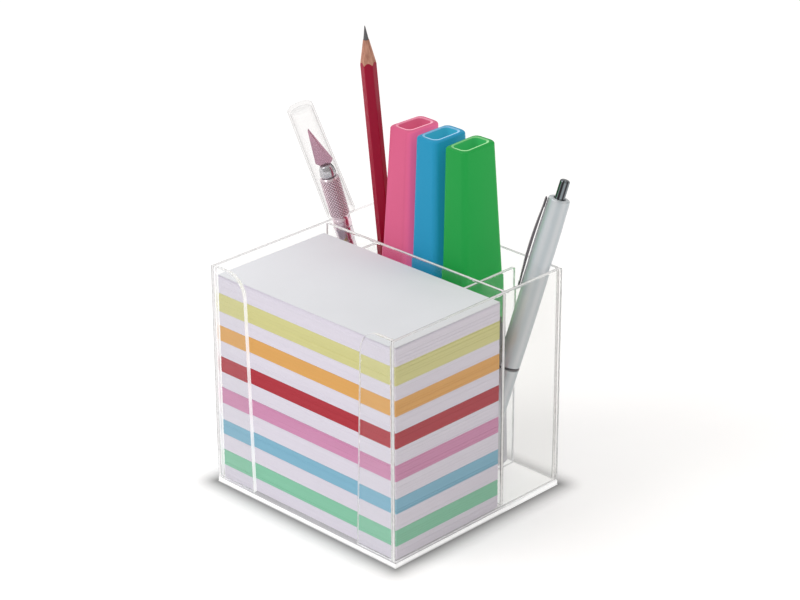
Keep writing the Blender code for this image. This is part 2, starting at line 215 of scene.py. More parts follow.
def paper(name, rgb, seed=0.0, lines=0.10, right_shade=0.0):
    m, nt, surface, tc = new_material(name)
    place = node(nt, "VectorMath", {0: tc.outputs["Object"], 1: (seed * 0.37, seed * 0.21, 0)},
                 operation="ADD").outputs[0]
    fine = noise(nt, place, (12, 12, 3100), 3, 0.7)
    broad = noise(nt, place, (7, 7, 520), 2)
    cloud = noise(nt, place, (26, 26, 26), 3)
    fibre = noise(nt, place, (2600, 2600, 2600), 2, 0.6)
    v = math_node(nt, "ADD", math_node(nt, "MULTIPLY", fine, lines),
                  math_node(nt, "MULTIPLY", broad, lines * 0.8))
    v = math_node(nt, "ADD", v, math_node(nt, "MULTIPLY", cloud, 0.05))
    v = math_node(nt, "ADD", v, math_node(nt, "MULTIPLY", fibre, 0.03))
    v = math_node(nt, "ADD", v, 1.0 - 0.5 * (1.8 * lines + 0.08))
    if right_shade:
        # painted shade: a little darker towards the right end
        sep = node(nt, "SeparateXYZ", {0: tc.outputs["Object"]})
        v = math_node(nt, "MULTIPLY", v, ramp_between(nt, sep.outputs["X"], -0.05, 0.05,
                                                      1.035, 1.035 - right_shade))
    height = math_node(nt, "ADD", fine, math_node(nt, "MULTIPLY", fibre, 0.5))
    bump = node(nt, "Bump", {"Strength": 0.35, "Distance": 0.00004, "Height": height})
    p = node(nt, "BsdfPrincipled", {"Base Color": tinted(nt, rgb, v), "Normal": bump.outputs[0],
                                    "Specular IOR Level": 0.25})
    nt.links.new(ramp_between(nt, fibre, 0.3, 0.7, 0.82, 0.95), p.inputs["Roughness"])
    nt.links.new(p.outputs[0], surface)
    return m


def plastic(name, rgb, rough=0.33, grain=0.04, coat=0.0, vary=0.05, shine=0.5, glow=0.0, side=0.0,
            inner=None):
    """Moulded plastic. glow is a painted glow that stands in for light scattered inside it, and side adds
    more painted glow on the faces along local +X, lightening the shade between neighbours; inner is a colour
    for the far sides (local -X and +Y) of a slot's lip, which take less of the lip's painted highlight."""
    m, nt, surface, tc = new_material(name)
    ob = tc.outputs["Object"]
    cloud = noise(nt, ob, (55, 55, 35), 3)
    fine = noise(nt, ob, (2100, 2100, 2100), 2)
    v = math_node(nt, "ADD", 1.0 - vary / 2, math_node(nt, "MULTIPLY", cloud, vary))
    colour = tinted(nt, rgb, v)
    sep = node(nt, "SeparateXYZ", {0: tc.outputs["Normal"]})
    if inner:
        where = node(nt, "SeparateXYZ", {0: ob})
        near = math_node(nt, "SUBTRACT", math_node(nt, "MULTIPLY", where.outputs["X"], 222.0),
                         math_node(nt, "MULTIPLY", where.outputs["Y"], 71.0))
        mixed = node(nt, "Mix", {"Factor": ramp_between(nt, near, 0.0, 0.45, 0.0, 1.0),
                                 "A": inner, "B": colour}, data_type="RGBA")
        colour = mixed.outputs["Result"]
    bump = node(nt, "Bump", {"Strength": grain, "Distance": 0.0001, "Height": fine})
    p = node(nt, "BsdfPrincipled", {"Base Color": colour, "Normal": bump.outputs[0],
                                    "Coat Weight": coat, "Coat Roughness": 0.12,
                                    "Specular IOR Level": shine})
    # painted glow over the whole part, stronger on faces along local +X
    if glow:
        nt.links.new(colour, p.inputs["Emission Color"])
        nt.links.new(ramp_between(nt, sep.outputs["X"], 0.3, 0.95, glow, glow + side),
                     p.inputs["Emission Strength"])
    nt.links.new(ramp_between(nt, cloud, 0.3, 0.7, rough - 0.05, rough + 0.06), p.inputs["Roughness"])
    nt.links.new(p.outputs[0], surface)
    return m


def metal(name, rgb, rough=0.25, rings=0.0, metallic=1.0, scratch=0.0, bands=0.0, hatch=None):
    """Metal with fine turned rings round local Z (rings), light scratches, and soft lengthwise bands round
    that axis (bands), a painted reflection of the surroundings in a cooler tone."""
    m, nt, surface, tc = new_material(name)
    ob = tc.outputs["Object"]
    turned = noise(nt, ob, (30, 30, 3600), 2)
    marks = noise(nt, ob, (900, 900, 60), 3)
    v = math_node(nt, "ADD", 1.0 - 0.03, math_node(nt, "MULTIPLY", turned, 0.06))
    colour = tinted(nt, rgb, v)
    # painted reflection: soft cooler bands round the axis
    if bands:
        sep = node(nt, "SeparateXYZ", {0: tc.outputs["Normal"]})
        round_ = math_node(nt, "ARCTAN2", sep.outputs["Y"], sep.outputs["X"])
        wave = math_node(nt, "SINE", math_node(nt, "MULTIPLY", round_, 7.0))
        band_reflection = ramp_between(nt, wave, -0.9, 0.9, 0.0, bands)
        mixed = node(nt, "Mix", {"Factor": band_reflection, "A": colour, "B": srgb(176, 190, 196)},
                     data_type="RGBA")
        colour = mixed.outputs["Result"]
    if hatch:
        # painted shade and a painted pink reflection in the grooves of the knurl: (teeth, turn per metre of
        # height, foot of the knurl)
        teeth, turn, foot = hatch
        sep = node(nt, "SeparateXYZ", {0: ob})
        round_ = math_node(nt, "ARCTAN2", sep.outputs["Y"], sep.outputs["X"])
        twist = math_node(nt, "MULTIPLY", math_node(nt, "SUBTRACT", sep.outputs["Z"], foot), turn)
        grooves = []
        for op in ("ADD", "SUBTRACT"):
            a = math_node(nt, "MULTIPLY", math_node(nt, op, round_, twist), teeth / (2 * math.pi))
            f = math_node(nt, "FRACT", math_node(nt, "ADD", a, 40.0))
            p = math_node(nt, "ABSOLUTE", math_node(nt, "SUBTRACT", f, 0.5))
            grooves.append(ramp_between(nt, p, 0.06, 0.20, 1.0, 0.0))
        groove = math_node(nt, "MAXIMUM", grooves[0], grooves[1])
        inside = math_node(nt, "MULTIPLY", ramp_between(nt, sep.outputs["Z"], foot, foot + 0.0001, 0.0, 1.0),
                           ramp_between(nt, sep.outputs["Z"], foot + 0.0171, foot + 0.0172, 1.0, 0.0))
        mixed = node(nt, "Mix", {"Factor": math_node(nt, "MULTIPLY", groove, inside), "A": colour,
                                 "B": srgb(160, 112, 132)}, data_type="RGBA")
        colour = mixed.outputs["Result"]
    height = math_node(nt, "ADD", math_node(nt, "MULTIPLY", turned, rings),
                       math_node(nt, "MULTIPLY", marks, scratch))
    bump = node(nt, "Bump", {"Strength": 0.25, "Distance": 0.00005, "Height": height})
    p = node(nt, "BsdfPrincipled", {"Base Color": colour, "Normal": bump.outputs[0],
                                    "Metallic": metallic})
    nt.links.new(ramp_between(nt, turned, 0.3, 0.7, rough - 0.02, rough + 0.03), p.inputs["Roughness"])
    nt.links.new(p.outputs[0], surface)
    return m


def bare_wood(name):
    m, nt, surface, tc = new_material(name)
    ob = tc.outputs["Object"]
    grain = noise(nt, ob, (1100, 1100, 45), 4, 0.6)
    pore = noise(nt, ob, (2600, 2600, 260), 2)
    mixed = node(nt, "Mix", {"Factor": ramp_between(nt, grain, 0.35, 0.65, 0, 1),
                             "A": srgb(168, 112, 92), "B": srgb(214, 158, 134)}, data_type="RGBA")
    v = ramp_between(nt, pore, 0.25, 0.5, 0.86, 1.0)
    colour = node(nt, "VectorMath", {0: mixed.outputs["Result"], "Scale": v}, operation="SCALE")
    bump = node(nt, "Bump", {"Strength": 0.4, "Distance": 0.00005, "Height": grain})
    p = node(nt, "BsdfPrincipled", {"Base Color": colour.outputs[0], "Roughness": 0.7,
                                    "Normal": bump.outputs[0]})
    nt.links.new(p.outputs[0], surface)
    return m


CLEAR_X = acrylic("clear_sheet_x", (1, 0, 0))
# The right wall's copy has a darker, warmer tint: painted shade on what is seen through it, above all the
# notes' right faces.
CLEAR_RIGHT_SHADED = acrylic("clear_sheet_right_shaded", (1, 0, 0), tint=(0.965, 0.963, 0.957), frost_and_highlight=0.72, ior=1.22,
                      light=0.12)
CLEAR_Y = acrylic("clear_sheet_y", (0, 1, 0))
# Lit and shaded copies of one sheet: the left tab's edge is whiter with more painted glow and keeps little
# white where it faces up (painted shade); the right tab's has less; the base plate's edge glows most.
CLEAR_TAB_L = acrylic("clear_sheet_tab_left", (0, 1, 0), frost_and_highlight=0.92, core=0.36, light=0.30,
                      crown=0.3)
CLEAR_TAB_R = acrylic("clear_sheet_tab_right", (0, 1, 0), frost_and_highlight=0.74, core=0.30, light=0.10)
CLEAR_Z = acrylic("clear_sheet_z", (0, 0, 1), frost_and_highlight=0.93, core=0.5, light=0.38)
CLEAR_CAP = moulded("clear_moulded")
PAPER = {
    "white": srgb(227, 223, 235), "yellow": srgb(216, 213, 150), "orange": srgb(227, 172, 100),
    "red": srgb(180, 58, 69), "pink": srgb(213, 149, 186), "blue": srgb(136, 188, 212),
    "green": srgb(142, 206, 176),
}
PAPER_MAT = {k: paper("paper_" + k, v, i + 1.0) for i, (k, v) in enumerate(PAPER.items())}
TOP_PAPER = paper("paper_top_sheet", srgb(235, 238, 243), 9.0, right_shade=0.10)
MARKER = {"pink": srgb(202, 91, 128), "blue": srgb(32, 137, 176), "green": srgb(27, 144, 63)}
# Painted glow on the highlighters, more on their +X faces to lighten the shade the next marker casts there.
SIDE_GLOW = {"pink": 0.42, "blue": 0.10, "green": 0.17}
MARKER_MAT = {k: plastic("highlighter_" + k, v, 0.42, 0.05, shine=0.16, glow=0.28,
                         side=SIDE_GLOW[k]) for k, v in MARKER.items()}
# The slots' insides glow more than the body: painted light lifting the shade inside the recess.
SLOT = {"pink": srgb(188, 92, 122), "blue": srgb(57, 153, 176), "green": srgb(55, 159, 90)}
SLOT_MAT = {k: plastic("highlighter_slot_" + k, v, 0.5, 0.05, shine=0.1, glow=0.5)
            for k, v in SLOT.items()}
# A paler colour along the slots' lips is a painted highlight; its far sides take a dimmer one.
LIP_HIGHLIGHT = {"pink": srgb(244, 168, 190), "blue": srgb(150, 200, 236), "green": srgb(150, 222, 150)}
FAR_LIP_HIGHLIGHT = {k: tuple(0.6 * a + 0.4 * b for a, b in zip(MARKER[k], v)) for k, v in LIP_HIGHLIGHT.items()}
LIP_HIGHLIGHT_MAT = {k: plastic("highlighter_lip_" + k, v, 0.3, 0.02, shine=0.5, glow=0.3, inner=FAR_LIP_HIGHLIGHT[k])
           for k, v in LIP_HIGHLIGHT.items()}
BLACK = plastic("black_moulding", srgb(34, 34, 37), 0.42, 0.10)
PALE = plastic("pale_moulding", srgb(208, 208, 216), 0.35, 0.05)
FELT = plastic("felt", srgb(214, 212, 130), 0.9, 0.8, vary=0.2)
LACQUER = plastic("pencil_lacquer_red", srgb(160, 12, 50), 0.34, 0.02, coat=0.03, shine=0.14)
WOOD = bare_wood("pencil_wood")
GRAPHITE = metal("graphite_lead", srgb(96, 95, 98), 0.42, 0.5, 0.3)
# Painted reflection: the pen's soft bands, and the dark base colours of the clip, ring and button, which
# stand in for dark surroundings they reflect.
SILVER = metal("silver_lacquer", srgb(212, 217, 221), 0.32, 0.02, 0.3, bands=0.5)
CHROME = metal("dark_chrome", srgb(96, 92, 96), 0.10, 0.02, 1.0)
BUTTON = metal("dark_chrome_button", srgb(58, 54, 57), 0.10, 0.02, 1.0, bands=0.5)
# The knife's metals carry a pink tint: a painted reflection of the pink marker and the red pencil beside
# them.
ALUMINIUM = metal("knife_tube", srgb(218, 208, 214), 0.12, 0.05)
KNURLED = metal("knurled_metal", srgb(232, 214, 222), 0.22, 0.02, hatch=(20, 0.95 / 4.2 / MM, 103.7 * MM))
STEEL = metal("turned_steel", srgb(188, 187, 191), 0.14, 0.4)
# painted pink reflection on the blade steel
BLADE = metal("blade_steel_ground", srgb(196, 150, 168), 0.2, 0.05, 1.0, 0.1)
BLACK_PLUG = plastic("knife_plug_black", srgb(30, 30, 32), 0.45, 0.1)


# ------------------------------------------------------------------ mesh helpers
def finish_piece(name, bm, mats, body, nodes, matrix=None, smooth=35, face_mats=None):
    me = bpy.data.meshes.new(name)
    bmesh.ops.recalc_face_normals(bm, faces=bm.faces)
    bm.to_mesh(me)
    bm.free()
    for m in mats if isinstance(mats, (list, tuple)) else [mats]:
        me.materials.append(m)
    if smooth:
        me.shade_smooth()
        me.set_sharp_from_angle(angle=math.radians(smooth))
    ob = bpy.data.objects.new(name, me)
    scene.collection.objects.link(ob)
    if matrix is not None:
        ob.matrix_world = matrix
    bpy.context.view_layer.update()
    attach(ob, body)
    if nodes:
        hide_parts(*([nodes] if isinstance(nodes, str) else nodes))
    return ob


def soften(profile, radius, closed=False, n=3):
    """The profile with each corner rounded."""
    pts = [Vector(p) for p in profile]
    out = []
    count = len(pts)
    for i, p in enumerate(pts):
        if not closed and i in (0, count - 1):
            out.append(p)
            continue
        a, b = pts[i - 1], pts[(i + 1) % count]
        if p.x < 1e-6:
            out.append(p)
            continue
        da, db = (a - p).length, (b - p).length
        turn = (p - a).angle(b - p, 0.0) if da > 1e-9 and db > 1e-9 else 0.0
        d = min(radius, 0.42 * da, 0.42 * db)
        if turn < math.radians(12) or d < 0.01:
            out.append(p)
            continue
        s, e = p + (a - p).normalized() * d, p + (b - p).normalized() * d
        for k in range(n + 1):
            t = k / n
            out.append(s * (1 - t) ** 2 + p * 2 * t * (1 - t) + e * t * t)
    return [(q.x, q.y) for q in out]


def lathe(profile, steps=72, closed=False):
    """A turned mesh; the profile (radius, height), mm, runs down the outer side."""
    bm = bmesh.new()
    rows = []
    for r, h in profile:
        if r < 1e-6:
            rows.append([bm.verts.new((0, 0, h * MM))])
        else:
            rows.append([bm.verts.new((r * MM * math.cos(2 * math.pi * j / steps),
                                       r * MM * math.sin(2 * math.pi * j / steps), h * MM))
                         for j in range(steps)])
    pairs = list(zip(rows, rows[1:])) + ([(rows[-1], rows[0])] if closed else [])
    for a, b in pairs:
        for j in range(steps):
            k = (j + 1) % steps
            if len(a) == 1 and len(b) == 1:
                continue
            if len(a) == 1:
                bm.faces.new((a[0], b[j], b[k]))
            elif len(b) == 1:
                bm.faces.new((a[j], b[0], a[k]))
            else:
                bm.faces.new((a[j], b[j], b[k], a[k]))
    return bm


def ring(hx, hy, radius, n=8):
    out = []
    for cx, cy, start in ((1, 1, 0), (-1, 1, 90), (-1, -1, 180), (1, -1, 270)):
        for i in range(n + 1):
            a = math.radians(start + 90 * i / n)
            out.append((cx * (hx - radius) + radius * math.cos(a),
                        cy * (hy - radius) + radius * math.sin(a)))
    return out


def loft(sections, n=8):
    """A closed mesh through rounded rectangles (hx, hy, radius, height), mm."""
    bm = bmesh.new()
    rows = [[bm.verts.new((px * MM, py * MM, h * MM)) for px, py in ring(hx, hy, r, n)]
            for hx, hy, r, h in sections]
    count = len(rows[0])
    for a, b in zip(rows, rows[1:]):
        for i in range(count):
            j = (i + 1) % count
            bm.faces.new((a[i], a[j], b[j], b[i]))
    bm.faces.new(list(reversed(rows[0])))
    bm.faces.new(rows[-1])
    return bm


def arc_sections(start, end, n=5, bulge=True):
    """Sections that turn a rounded shoulder from one section to the next."""
    out = []
    for k in range(1, n):
        t = math.radians(90 * k / n)
        s, c = (math.sin(t), 1 - math.cos(t)) if bulge else (1 - math.cos(t), math.sin(t))
        out.append(tuple([start[i] + (end[i] - start[i]) * c for i in range(3)]
                         + [start[3] + (end[3] - start[3]) * s]))
    return out


def tool_frame(low, high, side=Vector((1, 0, 0))):
    a = Vector((low[0], y(low[1]), low[2]))
    b = Vector((high[0], y(high[1]), high[2]))
    z = (b - a).normalized()
    x = (side - z * side.dot(z)).normalized()
    return Matrix.Translation(a * MM) @ Matrix((x, z.cross(x), z)).transposed().to_4x4()


def extrude_outline(points, thickness, bevel, segments=3):
    """A flat closed outline in local X-Z, given a thickness along Y and rounded edges, mm."""
    bm = bmesh.new()
    vs = [bm.verts.new((a * MM, -thickness / 2 * MM, b * MM)) for a, b in points]
    f = bm.faces.new(vs)
    r = bmesh.ops.extrude_face_region(bm, geom=[f])
    moved = [v for v in r["geom"] if isinstance(v, bmesh.types.BMVert)]
    bmesh.ops.translate(bm, vec=(0, thickness * MM, 0), verts=moved)
    bmesh.ops.recalc_face_normals(bm, faces=bm.faces)
    if bevel:
        rim = [e for e in bm.edges if len(e.link_faces) == 2 and e.calc_face_angle(0) > 0.9]
        bmesh.ops.bevel(bm, geom=rim, offset=bevel * MM, segments=segments, profile=0.5,
                        affect="EDGES", clamp_overlap=True)
    return bm


# ------------------------------------------------------------------ holder
for name, mat in (("base_plate", CLEAR_Z), ("left_side_wall", CLEAR_X), ("right_side_wall", CLEAR_RIGHT_SHADED),
                  ("back_wall", CLEAR_Y), ("note_divider", CLEAR_Y), ("left_pen_divider", CLEAR_X),
                  ("right_pen_divider", CLEAR_X)):
    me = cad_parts[name].data
    me.materials.clear()
    me.materials.append(mat)

SHEET, TOP, FOOT, INNER = 2.0, 99.6, 2.3, 50.2
for name, sign, clear in (("front_tab_left", -1, CLEAR_TAB_L), ("front_tab_right", 1, CLEAR_TAB_R)):
    pts = [(INNER, FOOT), (INNER, TOP)]
    for i in range(29):
        a = math.radians(90 + 90 * i / 28)
        pts.append((33.2 + 10 + 10 * math.cos(a), TOP - 10 + 10 * math.sin(a)))
    pts.append((30.6, FOOT))
    pts = [(sign * px, pz) for px, pz in pts]
    bm = extrude_outline(pts, SHEET, 0.0)
    rim = [e for e in bm.edges if len(e.link_faces) == 2 and e.calc_face_angle(0) > 0.9]
    bmesh.ops.bevel(bm, geom=rim, offset=0.3 * MM, segments=2, profile=0.5, affect="EDGES",
                    clamp_overlap=True)
    finish_piece(name + "_fine", bm, clear, "holder", name,
                 Matrix.Translation((0, y(1.0) * MM, 0)), smooth=20)

# ------------------------------------------------------------------ notes
NOTE_W, NOTE_D, NOTE_FRONT = 100.1, 59.3, 2.45
PADS = [("white", 5.9), ("green", 7.2), ("white", 7.4), ("blue", 6.7), ("white", 7.8),
        ("pink", 7.2), ("white", 7.2), ("red", 7.0), ("white", 7.2), ("orange", 7.0),
        ("white", 6.4), ("yellow", 8.2), ("white", 8.0)]


def sheets(bm, z0, z1, count, rng, spread, twist):
    """A run of stacked slabs of paper between two heights, as one closed body."""
    rows = []
    step = (z1 - z0) / count
    for k in range(count):
        dx, dy = rng.uniform(-spread, spread), rng.uniform(-spread, spread)
        a = rng.uniform(-twist, twist)
        gx, gy = rng.uniform(-0.03, 0.03), rng.uniform(-0.03, 0.03)
        hx, hy = NOTE_W / 2 + gx, NOTE_D / 2 + gy
        cy = y(NOTE_FRONT) + NOTE_D / 2 + dy
        for h in (z0 + step * k + 0.02, z0 + step * (k + 1) - 0.02):
            row = []
            for sx, sy in ((-1, -1), (1, -1), (1, 1), (-1, 1)):
                px, py = sx * hx, sy * hy
                row.append(bm.verts.new(((dx + px * math.cos(a) - py * math.sin(a)) * MM,
                                         (cy + px * math.sin(a) + py * math.cos(a)) * MM, h * MM)))
            rows.append(row)
    for low, high in zip(rows, rows[1:]):
        for i in range(4):
            j = (i + 1) % 4
            bm.faces.new((low[i], low[j], high[j], high[i]))
    bm.faces.new(list(reversed(rows[0])))
    bm.faces.new(rows[-1])


level_z = FOOT
for i, (colour, height) in enumerate(PADS):
    rng = random.Random(100 + i)
    name = "notes_%02d_%s" % (i + 1, colour)
    bm = bmesh.new()
    last = i == len(PADS) - 1
    z1 = level_z + height - (0.64 if last else 0.04)
    sheets(bm, level_z, z1, max(6, round(height / 0.55)), rng, 0.07, math.radians(0.035))
    if last:
        # the uppermost loose sheets lie slightly fanned
        for k, (dx, dy, turn) in enumerate(((0.05, -0.12, 0.08), (-0.10, -0.06, -0.11),
                                            (0.14, -0.12, 0.10), (0.02, -0.16, 0.03))):
            z = z1 + 0.02 + 0.15 * k
            a = math.radians(turn)
            row_pairs = []
            for h in (z, z + 0.13):
                row = []
                for sx, sy in ((-1, -1), (1, -1), (1, 1), (-1, 1)):
                    px, py = sx * NOTE_W / 2, sy * NOTE_D / 2
                    row.append(bm.verts.new(((dx + px * math.cos(a) - py * math.sin(a)) * MM,
                                             (y(NOTE_FRONT) + NOTE_D / 2 + dy + px * math.sin(a)
                                              + py * math.cos(a)) * MM, h * MM)))
                row_pairs.append(row)
            low, high = row_pairs
            for q in range(4):
                j = (q + 1) % 4
                bm.faces.new((low[q], low[j], high[j], high[q]))
            bm.faces.new(list(reversed(low)))
            bm.faces.new(high)
    finish_piece(name + "_sheets", bm, PAPER_MAT[colour], "holder", name,
                 smooth=0)
    level_z += height

# the top note: a single sheet, its corners lifting a little
bm = bmesh.new()
NX, NY = 40, 24
grid = {}
for side in (0, 1):
    for i in range(NX + 1):
        for j in range(NY + 1):
            u, v = i / NX * 2 - 1, j / NY * 2 - 1
            curl = 0.10 * max(0.0, u) ** 3 * (0.4 + 0.6 * max(0.0, -v) ** 2) \
                + 0.05 * abs(min(0.0, u)) ** 4
            z = 95.53 + curl + 0.03 * math.sin(2.1 * u + 1.3 * v) + (0.11 if side else 0.0)
            grid[side, i, j] = bm.verts.new((u * NOTE_W / 2 * MM,
                                             (y(NOTE_FRONT) + NOTE_D * (v + 1) / 2) * MM, z * MM))
for i in range(NX):
    for j in range(NY):
        a, b, c, d = [(i, j), (i + 1, j), (i + 1, j + 1), (i, j + 1)]
        bm.faces.new([grid[(1,) + q] for q in (a, b, c, d)])
        bm.faces.new([grid[(0,) + q] for q in (d, c, b, a)])
for i in range(NX):
    bm.faces.new((grid[0, i, 0], grid[0, i + 1, 0], grid[1, i + 1, 0], grid[1, i, 0]))
    bm.faces.new((grid[0, i + 1, NY], grid[0, i, NY], grid[1, i, NY], grid[1, i + 1, NY]))
for j in range(NY):
    bm.faces.new((grid[0, NX, j], grid[0, NX, j + 1], grid[1, NX, j + 1], grid[1, NX, j]))
    bm.faces.new((grid[0, 0, j + 1], grid[0, 0, j], grid[1, 0, j], grid[1, 0, j + 1]))
finish_piece("top_note_sheet", bm, TOP_PAPER, "top_note", "top_note", smooth=40)

# ------------------------------------------------------------------ pencil
PENCIL = tool_frame((-26.2, 84.9, 3.7), (-26.2, 74.8, 93.0), Vector((0.968, 0.252, 0.0)))
P_LEN, P_R, P_ROUND = 190.3, 3.4, 0.4
LEAD_OUT, CONE, TIP_R = 6.1, 10.9, 1.25
wood_end = P_LEN - LEAD_OUT
flat = P_R * math.cos(math.radians(30))
bm = bmesh.new()
STEPS = 120


def hexagon(theta):
    """Radius of a hexagon with rounded corners at an angle; its corners are at 0, 60, ..."""
    t = (theta + math.pi / 6) % (math.pi / 3) - math.pi / 6   # angle from the nearest corner
    limit = flat / math.cos(math.pi / 6 - abs(t))
    # rounding: a circle of radius P_ROUND tangent to both flats
    centre = (flat - P_ROUND) / math.cos(math.pi / 6)
    s = centre * math.sin(abs(t))
    if abs(t) < math.atan2(P_ROUND * math.sin(math.pi / 6), centre + P_ROUND * math.cos(math.pi / 6)):
        return centre * math.cos(t) + math.sqrt(max(P_ROUND ** 2 - s * s, 0.0))
    return limit


rows = []
bottom = [0.0, 0.25]
angles = [2 * math.pi * j / STEPS + math.pi / 2 for j in range(STEPS)]
hexes = [hexagon(2 * math.pi * j / STEPS) for j in range(STEPS)]
edge_at = [wood_end - (r - TIP_R) / (P_R - TIP_R) * CONE for r in hexes]
foot_of_cone = min(edge_at)
edge_at = [foot_of_cone + 0.55 * (e - foot_of_cone) for e in edge_at]     # shallow scallops


def pencil_row(radii, heights):
    return [bm.verts.new((r * MM * math.cos(a), r * MM * math.sin(a), h * MM))
            for r, h, a in zip(radii, heights, angles)]


rows.append(pencil_row([1.05] * STEPS, [TOOL_FOOT] * STEPS))
rows.append(pencil_row([r - 0.3 for r in hexes], [TOOL_FOOT] * STEPS))
rows.append(pencil_row([r - 0.09 for r in hexes], [TOOL_FOOT + 0.09] * STEPS))
rows.append(pencil_row(hexes, [TOOL_FOOT + 0.3] * STEPS))
for k in range(1, 13):
    rows.append(pencil_row(hexes, [TOOL_FOOT + 0.3 + (e - 0.5 - 0.3 - TOOL_FOOT) * k / 12
                                   for e in edge_at]))
rows.append(pencil_row(hexes, edge_at))
paint_rows = len(rows)
for k in range(1, 11):
    rows.append(pencil_row([r + (TIP_R - r) * k / 10 for r in hexes],
                           [e + (wood_end - e) * k / 10 for e in edge_at]))
rows.append(pencil_row([1.05] * STEPS, [wood_end] * STEPS))
for k, (a, b) in enumerate(zip(rows, rows[1:])):
    for j in range(STEPS):
        q = (j + 1) % STEPS
        f = bm.faces.new((a[j], a[q], b[q], b[j]))
        f.material_index = 0 if 1 <= k < paint_rows - 1 else 1
for low, high in ((rows[-1], rows[0]),):
    for j in range(STEPS):
        q = (j + 1) % STEPS
        f = bm.faces.new((low[j], low[q], high[q], high[j]))
        f.material_index = 1
finish_piece("pencil_body", bm, [LACQUER, WOOD], "pencil", "pencil_casing", PENCIL,
             smooth=24)
lead = soften([(0, P_LEN), (0.16, P_LEN - 0.12), (1.12, wood_end + 0.06), (0.98, wood_end + 0.04),
               (0.98, -0.4), (0, -0.4)], 0.1)
finish_piece("pencil_graphite", lathe(lead, 48), GRAPHITE, "pencil", "pencil_lead",
             PENCIL)

# ------------------------------------------------------------------ craft knife
SIDE = Vector((0.713, 0.701, 0.0))
KNIFE = tool_frame((-35.19, 92.245, 3.42), (-46.47, 69.2, 99.6), SIDE)
K_R = 3.65
dome = [(K_R * math.sin(math.radians(a)), TOOL_FOOT + K_R - K_R * math.cos(math.radians(a)))
        for a in range(90, -1, -6)]
finish_piece("knife_end_cap", lathe([(0, 12), (1.9, 12), (1.9, 5.0), (K_R, 5.0)] + dome),
             BLACK_PLUG, "knife", "knife_end_plug", KNIFE)
finish_piece("knife_tube_handle",
             lathe(soften([(2.3, 97.5), (K_R, 97.5), (K_R, 92.2), (K_R - 0.12, 92.05),
                           (K_R - 0.12, 91.75), (K_R, 91.6), (K_R, 5.3), (2.3, 5.3)], 0.3, True),
                   72, True), ALUMINIUM, "knife", "knife_handle", KNIFE)

# the chuck: a smooth collar, a groove and a diamond-knurled grip
TEETH, KN0, KN1, KN_R = 20, 103.7, 120.9, 4.2
steps = TEETH * 8
bm = bmesh.new()
rows = []


def chuck_row(radius, h, depth=0.0):
    row = []
    for j in range(steps):
        a = 2 * math.pi * j / steps
        r = radius
        if depth:
            lean = (h - KN0) * 0.95 / KN_R
            p = abs((TEETH * (a + lean) / (2 * math.pi)) % 1.0 - 0.5) * 2
            q = abs((TEETH * (a - lean) / (2 * math.pi)) % 1.0 - 0.5) * 2
            r -= depth * max(1 - 2.3 * p, 1 - 2.3 * q, 0.0)
        row.append(bm.verts.new((r * MM * math.cos(a), r * MM * math.sin(a), h * MM)))
    rows.append(row)


for r, h in soften([(2.6, 97.8), (3.9, 97.8), (3.9, 101.8), (3.6, 102.1), (3.6, 103.0),
                    (4.1, 103.5)], 0.25):
    chuck_row(r, h)
for k in range(129):
    chuck_row(KN_R, KN0 + (KN1 - KN0) * k / 128, 0.26)
for r, h in soften([(4.1, 121.05), (3.5, 121.8), (2.6, 121.8)], 0.2):
    chuck_row(r, h)
for a, b in list(zip(rows, rows[1:])) + [(rows[-1], rows[0])]:
    for j in range(steps):
        k = (j + 1) % steps
        bm.faces.new((a[j], a[k], b[k], b[j]))
finish_piece("knife_knurled_chuck", bm, KNURLED, "knife", "knife_chuck", KNIFE,
             smooth=50)

# the collet: a split steel cone that holds the blade
collet = lathe(soften([(0, 127.4), (1.9, 127.4), (2.5, 127.0), (3.2, 125.4), (3.5, 123.4),
                       (3.5, 122.7), (3.2, 122.1), (2.2, 122.1), (2.2, 84.0), (0, 84.0)], 0.15), 64)
ob = finish_piece("knife_split_collet", collet, STEEL, "knife", "knife_collet", KNIFE)
cutter_bm = bmesh.new()
bmesh.ops.create_cube(cutter_bm, size=1.0)
bmesh.ops.scale(cutter_bm, vec=(9 * MM, 1.1 * MM, 17 * MM), verts=cutter_bm.verts)
cutter_me = bpy.data.meshes.new("collet_slot")
cutter_bm.to_mesh(cutter_me)
cutter_bm.free()
cutter = bpy.data.objects.new("collet_slot", cutter_me)
scene.collection.objects.link(cutter)
cutter.matrix_world = KNIFE @ Matrix.Translation((0, 0, 120.4 * MM))
mod = ob.modifiers.new("slot", "BOOLEAN")
mod.object = cutter
mod.operation = "DIFFERENCE"
mod.solver = "EXACT"
bpy.context.view_layer.update()
done = bpy.data.meshes.new_from_object(ob.evaluated_get(bpy.context.evaluated_depsgraph_get()))
ob.modifiers.clear()
ob.data = done
bpy.data.objects.remove(cutter)

# the blade: a flat body with a ground bevel on both sides of its cutting edge
bm = bmesh.new()
T = 0.25
edge_a, edge_b = Vector((3.52, 130.2)), Vector((-2.62, 145.3))
along = (edge_b - edge_a).normalized()
inward = Vector((-along.y, along.x))
if inward.x > 0:
    inward = -inward
inner_a = edge_a + inward * 1.5 + along * -0.6
inner_b = edge_b + inward * 0.36 - along * 0.9
front_pts = [(-1.9, 113.0), (1.9, 113.0), (1.9, 127.0), (3.55, 129.0), tuple(inner_a),
             tuple(inner_b), (-3.08, 144.3), (-3.85, 128.8), (-1.9, 127.0)]
sides = []
for s in (-1, 1):
    sides.append([bm.verts.new((a * MM, s * T * MM, b * MM)) for a, b in front_pts])
rim_a = bm.verts.new((edge_a.x * MM, 0, edge_a.y * MM))
rim_b = bm.verts.new((edge_b.x * MM, 0, edge_b.y * MM))
lo, hi = sides
bm.faces.new(lo)
bm.faces.new(list(reversed(hi)))
